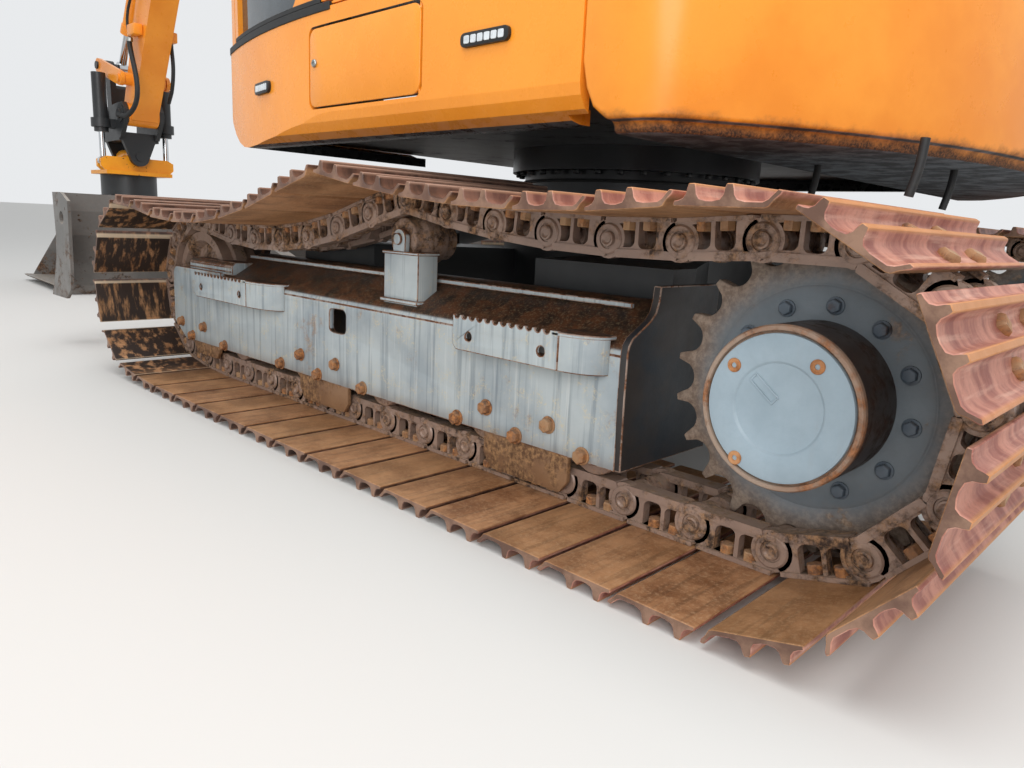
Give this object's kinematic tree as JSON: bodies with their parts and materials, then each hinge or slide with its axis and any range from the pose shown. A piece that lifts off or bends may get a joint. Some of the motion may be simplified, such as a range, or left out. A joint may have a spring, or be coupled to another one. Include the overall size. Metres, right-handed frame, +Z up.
{
  "type": "crawler excavator",
  "caption": "Short-tail crawler excavator with cab, boom, arm, dozer blade, steel tracks and a grading bucket on a tiltrotator.",
  "frame": {"origin": "on the ground under the swing axis, midway between the tracks", "axes": "+X forward towards the blade and boom, +Y to the machine's left (the cab's side), +Z up along the swing axis"},
  "size_m": [6.6949, 2.542, 3.1634],
  "materials": {
    "orange_paint": "semi-gloss",
    "undercarriage_paint": "satin, dusty and rust-streaked",
    "black_paint": "satin",
    "worn_steel": "rusty and rubbed",
    "chain_steel": "rusty",
    "blade_paint": "worn satin",
    "tilt_paint": "semi-gloss",
    "ram_chrome": "polished",
    "cab_glazing": "clear, faintly tinted",
    "seat_cloth": "matt",
    "bucket_paint": "worn satin",
    "lamp_plastic": "matt"
  },
  "bodies": {
    "chassis": {"centre_frame": "black_paint", "track_frame_left": "undercarriage_paint", "track_frame_right": "undercarriage_paint", "track_left": "worn_steel", "track_right": "worn_steel", "sprockets": "undercarriage_paint", "final_drives": "undercarriage_paint", "idlers": "chain_steel", "rollers": "chain_steel", "swing_ring": "black_paint"},
    "blade": {"dozer_blade": "blade_paint", "blade_frame": "blade_paint"},
    "blade_ram": {"blade_cylinder_barrel": "black_paint"},
    "blade_ram_rod": {"blade_cylinder_rod": "ram_chrome"},
    "upper": {"upper_frame": "black_paint", "turntable_ring": "black_paint", "counterweight": "orange_paint", "skirts": "orange_paint", "engine_house": "orange_paint", "engine_block": "black_paint", "tank_cover": "orange_paint", "cab_shell": "orange_paint", "cab_glass": "cab_glazing", "operator_seat": "seat_cloth", "rails_and_mirrors": "black_paint", "work_lamps": "lamp_plastic", "exhaust": "black_paint"},
    "service_hatch": {"service_hatch": "orange_paint"},
    "hood": {"engine_hood": "orange_paint"},
    "side_door": {"side_door_right": "orange_paint"},
    "cab_door": {"cab_door": "orange_paint", "door_glass": "cab_glazing"},
    "boom": {"boom": "orange_paint"},
    "boom_rams": {"boom_cylinder_barrels": "orange_paint"},
    "boom_ram_rods": {"boom_cylinder_rods": "ram_chrome"},
    "arm": {"arm": "orange_paint"},
    "arm_ram": {"arm_cylinder_barrel": "orange_paint"},
    "arm_ram_rod": {"arm_cylinder_rod": "ram_chrome"},
    "bucket_ram": {"bucket_cylinder_barrel": "orange_paint"},
    "bucket_ram_rod": {"bucket_cylinder_rod": "ram_chrome"},
    "rocker": {"rocker": "orange_paint"},
    "link": {"bucket_link": "black_paint"},
    "tilt_head": {"tilt_head": "black_paint", "tilt_barrels": "black_paint"},
    "tilt_rod_left": {"tilt_rod_left": "ram_chrome"},
    "tilt_rod_right": {"tilt_rod_right": "ram_chrome"},
    "tilt_frame": {"tilt_frame": "tilt_paint"},
    "tool": {"rotator": "black_paint", "bucket": "bucket_paint"}
  },
  "joints": [
    {"name": "swing", "type": "hinge", "parent": "chassis", "child": "upper", "pos_m": [0, 0, 0.765], "axis": [0, 0, 1], "continuous": true},
    {"name": "blade_lift", "type": "hinge", "parent": "chassis", "child": "blade", "pos_m": [0.85, 0, 0.33], "axis": [0, -1, 0], "range_deg": [-24, 8]},
    {"name": "blade_ram_swing", "type": "hinge", "parent": "chassis", "child": "blade_ram", "pos_m": [0.48, 0, 0.64], "axis": [0, -1, 0], "range_deg": [-14.35, 4.82]},
    {"name": "blade_ram_stroke", "type": "slide", "parent": "blade_ram", "child": "blade_ram_rod", "axis": [0.9734, 0, -0.229], "range_m": [-0.0263, 0.0769]},
    {"name": "cab_door_swing", "type": "hinge", "parent": "upper", "child": "cab_door", "pos_m": [0.15, 1.097, 1.6], "axis": [0, 0, 1], "range_deg": [0, 150]},
    {"name": "service_hatch_swing", "type": "hinge", "parent": "upper", "child": "service_hatch", "pos_m": [-0.183, 1.077, 0.96], "axis": [0, 0, 1], "range_deg": [0, 95]},
    {"name": "side_door_swing", "type": "hinge", "parent": "upper", "child": "side_door", "pos_m": [-0.636, -1.072, 1.32], "axis": [0, 0, -1], "range_deg": [0, 90]},
    {"name": "hood_lift", "type": "hinge", "parent": "upper", "child": "hood", "pos_m": [-0.68, 0, 1.575], "axis": [0, 1, 0], "range_deg": [0, 60]},
    {"name": "boom_lift", "type": "hinge", "parent": "upper", "child": "boom", "pos_m": [0.23, 0, 1.33], "axis": [0, -1, 0], "range_deg": [-50, 40]},
    {"name": "boom_ram_swing", "type": "hinge", "parent": "upper", "child": "boom_rams", "pos_m": [0.72, 0, 1], "axis": [0, -1, 0], "range_deg": [-51.84, 41.48]},
    {"name": "boom_ram_stroke", "type": "slide", "parent": "boom_rams", "child": "boom_ram_rods", "axis": [0.4258, 0, 0.9048], "range_m": [-0.4951, 0.3963]},
    {"name": "arm_swing", "type": "hinge", "parent": "boom", "child": "arm", "pos_m": [3.50385, 0, 2.71562], "axis": [0, 1, 0], "range_deg": [-58, 35]},
    {"name": "arm_ram_swing", "type": "hinge", "parent": "boom", "child": "arm_ram", "pos_m": [1.44476, 0, 2.82143], "axis": [0, -1, 0], "range_deg": [-6.35, 3.85]},
    {"name": "arm_ram_stroke", "type": "slide", "parent": "arm_ram", "child": "arm_ram_rod", "axis": [0.99, 0, 0.141], "range_m": [-0.3386, 0.2047]},
    {"name": "hitch_swing", "type": "hinge", "parent": "arm", "child": "tilt_head", "pos_m": [4.32958, 0, 1.22963], "axis": [0, 1, 0], "range_deg": [-40, 80]},
    {"name": "rocker_swing", "type": "hinge", "parent": "arm", "child": "rocker", "pos_m": [4.24234, 0, 1.45457], "axis": [0, 1, 0], "range_deg": [-28.13, 56.2]},
    {"name": "link_swing", "type": "hinge", "parent": "rocker", "child": "link", "pos_m": [4.64434, 0, 1.57557], "axis": [0, 1, 0], "range_deg": [-26.01, 13.03]},
    {"name": "bucket_ram_swing", "type": "hinge", "parent": "arm", "child": "bucket_ram", "pos_m": [3.93355, 0, 2.62378], "axis": [0, 1, 0], "range_deg": [-4.22, 8.38]},
    {"name": "bucket_ram_stroke", "type": "slide", "parent": "bucket_ram", "child": "bucket_ram_rod", "axis": [0.5612, 0, -0.8277], "range_m": [-0.1719, 0.3428]},
    {"name": "tool_tilt", "type": "hinge", "parent": "tilt_head", "child": "tilt_frame", "pos_m": [4.61958, 0, 0.94763], "axis": [1, 0, 0], "range_deg": [-40, 40]},
    {"name": "tilt_stroke_left", "type": "slide", "parent": "tilt_head", "child": "tilt_rod_left", "axis": [0, 0, 1], "range_m": [-0.152, 0.152]},
    {"name": "tilt_stroke_right", "type": "slide", "parent": "tilt_head", "child": "tilt_rod_right", "axis": [0, 0, 1], "range_m": [-0.152, 0.152]},
    {"name": "tool_turn", "type": "hinge", "parent": "tilt_frame", "child": "tool", "pos_m": [4.61958, 0, 0.7], "axis": [0, 0, 1], "continuous": true}
  ],
  "couplings": [
    {"joint": "blade_ram_swing", "follows": "blade_lift", "ratio": 0.584},
    {"joint": "blade_ram_stroke", "follows": "blade_lift", "m_per_rad": -0.1777},
    {"joint": "boom_ram_swing", "follows": "boom_lift", "ratio": 1.0153},
    {"joint": "boom_ram_stroke", "follows": "boom_lift", "m_per_rad": 0.5551},
    {"joint": "arm_ram_swing", "follows": "arm_swing", "ratio": 0.1063},
    {"joint": "arm_ram_stroke", "follows": "arm_swing", "m_per_rad": 0.327},
    {"joint": "rocker_swing", "follows": "hitch_swing", "ratio": 0.688},
    {"joint": "link_swing", "follows": "hitch_swing", "ratio": -0.318},
    {"joint": "bucket_ram_swing", "follows": "hitch_swing", "ratio": 0.102},
    {"joint": "bucket_ram_stroke", "follows": "hitch_swing", "m_per_rad": 0.24},
    {"joint": "tilt_stroke_left", "follows": "tool_tilt", "m_per_rad": 0.212},
    {"joint": "tilt_stroke_right", "follows": "tool_tilt", "m_per_rad": -0.212}
  ]
}
